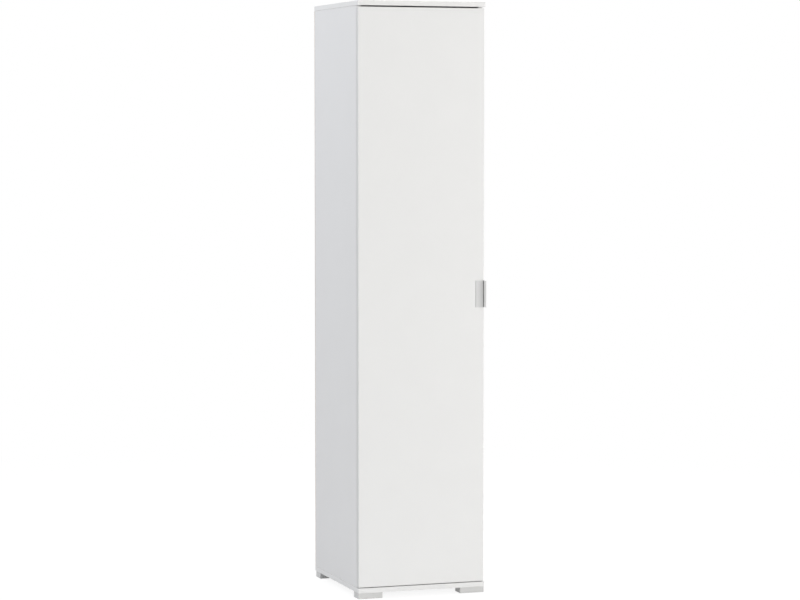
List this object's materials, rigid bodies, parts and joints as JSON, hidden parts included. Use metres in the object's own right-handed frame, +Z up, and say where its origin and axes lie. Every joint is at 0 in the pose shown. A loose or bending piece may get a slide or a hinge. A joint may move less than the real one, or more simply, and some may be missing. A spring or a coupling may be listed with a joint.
{
  "type": "broom cupboard",
  "caption": "Tall narrow white cupboard with a left-hinged slab door, an aluminium angle pull, a fixed upper shelf over a full-height broom space, and block feet.",
  "frame": {"origin": "on the floor, under the middle of the closed cupboard's box, handle included", "axes": "+Z up, +X to the right and +Y to the rear, seen from the front; the door's face looks along -Y"},
  "size_m": [0.45, 0.52, 2],
  "materials": {
    "white_board": "white melamine-faced chipboard, fine matt grain, white plastic edging",
    "white_door": "white melamine-faced chipboard, smooth satin face",
    "white_back": "thin hardboard, painted white inside and left bare brown behind",
    "beech": "bare beech",
    "grey_plastic": "light grey moulded plastic, fine texture",
    "satin_aluminium": "satin anodised, fine brushing along its length",
    "nickel_steel": "nickel-plated pressed steel",
    "cast_zinc": "nickel-plated zinc casting",
    "zinc_screw": "bright zinc-plated steel",
    "clear_rubber": "soft translucent rubber"
  },
  "bodies": {
    "carcass": {"top_panel": "white_board", "bottom_panel": "white_board", "left_side_panel": "white_board", "right_side_panel": "white_board", "upper_shelf": "white_board", "back_panel": "white_back", "wood_dowels": "beech", "cam_locks": "cast_zinc", "cam_bolts": "zinc_screw", "foot_front_left": "grey_plastic", "foot_front_right": "grey_plastic", "foot_rear_left": "grey_plastic", "foot_rear_right": "grey_plastic", "foot_screws": "zinc_screw", "back_nails": "zinc_screw", "wall_bracket": "nickel_steel", "wall_bracket_screws": "zinc_screw", "hinge_plate_screws": "zinc_screw", "hinge_arm_screws": "zinc_screw", "hinge_arm_1": "nickel_steel", "hinge_plate_1": "nickel_steel", "hinge_arm_2": "nickel_steel", "hinge_plate_2": "nickel_steel", "hinge_arm_3": "nickel_steel", "hinge_plate_3": "nickel_steel", "hinge_arm_4": "nickel_steel", "hinge_plate_4": "nickel_steel"},
    "door": {"door_panel": "white_door", "door_handle": "satin_aluminium", "handle_screws": "zinc_screw", "door_bumpers": "clear_rubber", "hinge_pins": "nickel_steel", "hinge_cup_screws": "zinc_screw", "hinge_cup_1": "cast_zinc", "hinge_cup_2": "cast_zinc", "hinge_cup_3": "cast_zinc", "hinge_cup_4": "cast_zinc"}
  },
  "joints": [
    {"name": "door_swing", "type": "hinge", "parent": "carcass", "child": "door", "pos_m": [-0.21499, -0.22809, 1.009], "axis": [0, 0, -1], "range_deg": [0, 95]}
  ]
}
